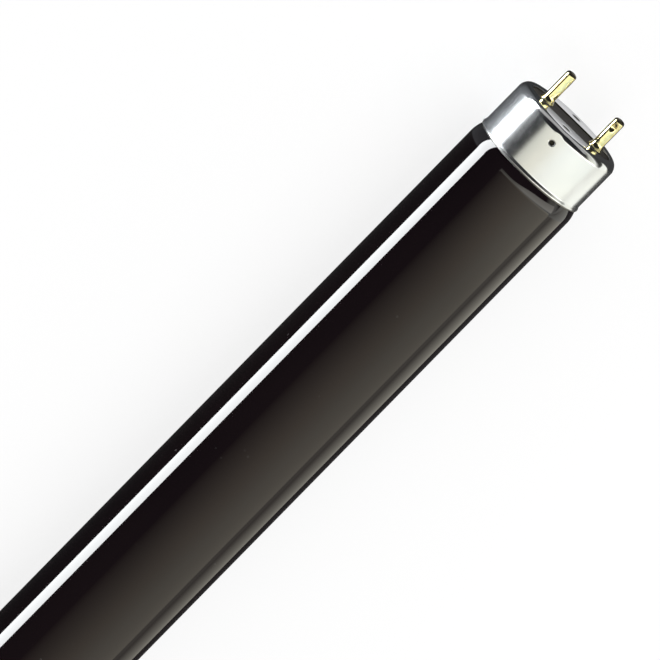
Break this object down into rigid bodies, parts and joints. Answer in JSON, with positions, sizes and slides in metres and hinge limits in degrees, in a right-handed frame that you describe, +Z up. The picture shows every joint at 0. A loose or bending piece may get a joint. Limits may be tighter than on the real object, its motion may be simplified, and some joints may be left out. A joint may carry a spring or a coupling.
{
  "type": "black light fluorescent tube",
  "caption": "Straight fluorescent lamp of dark ultraviolet-pass glass, with an aluminium cap and brass contact pins at each end.",
  "frame": {"origin": "middle of the lamp, on the axis of the tube, half way between the two cap faces", "axes": "+X along the tube, out of the right end; +Y from one pin of a cap to the other, towards the back pin; +Z up, square to the plane of the pins"},
  "size_m": [0.604, 0.0254, 0.0254],
  "materials": {
    "dark_glass": "gloss",
    "aluminium": "satin",
    "phenolic": "matt",
    "cement": "matt",
    "brass": "polished",
    "lead_wire": "drawn"
  },
  "bodies": {
    "root": {"glass_tube": "dark_glass", "cap_shell_left": "aluminium", "cap_shell_right": "aluminium", "insulator_left": "phenolic", "insulator_right": "phenolic", "cement_ring_left": "cement", "cement_ring_right": "cement", "pin_left_front": "brass", "pin_left_back": "brass", "pin_right_front": "brass", "pin_right_back": "brass", "lead_wire_left_front": "lead_wire", "lead_wire_left_back": "lead_wire", "lead_wire_right_front": "lead_wire", "lead_wire_right_back": "lead_wire"}
  },
  "joints": []
}
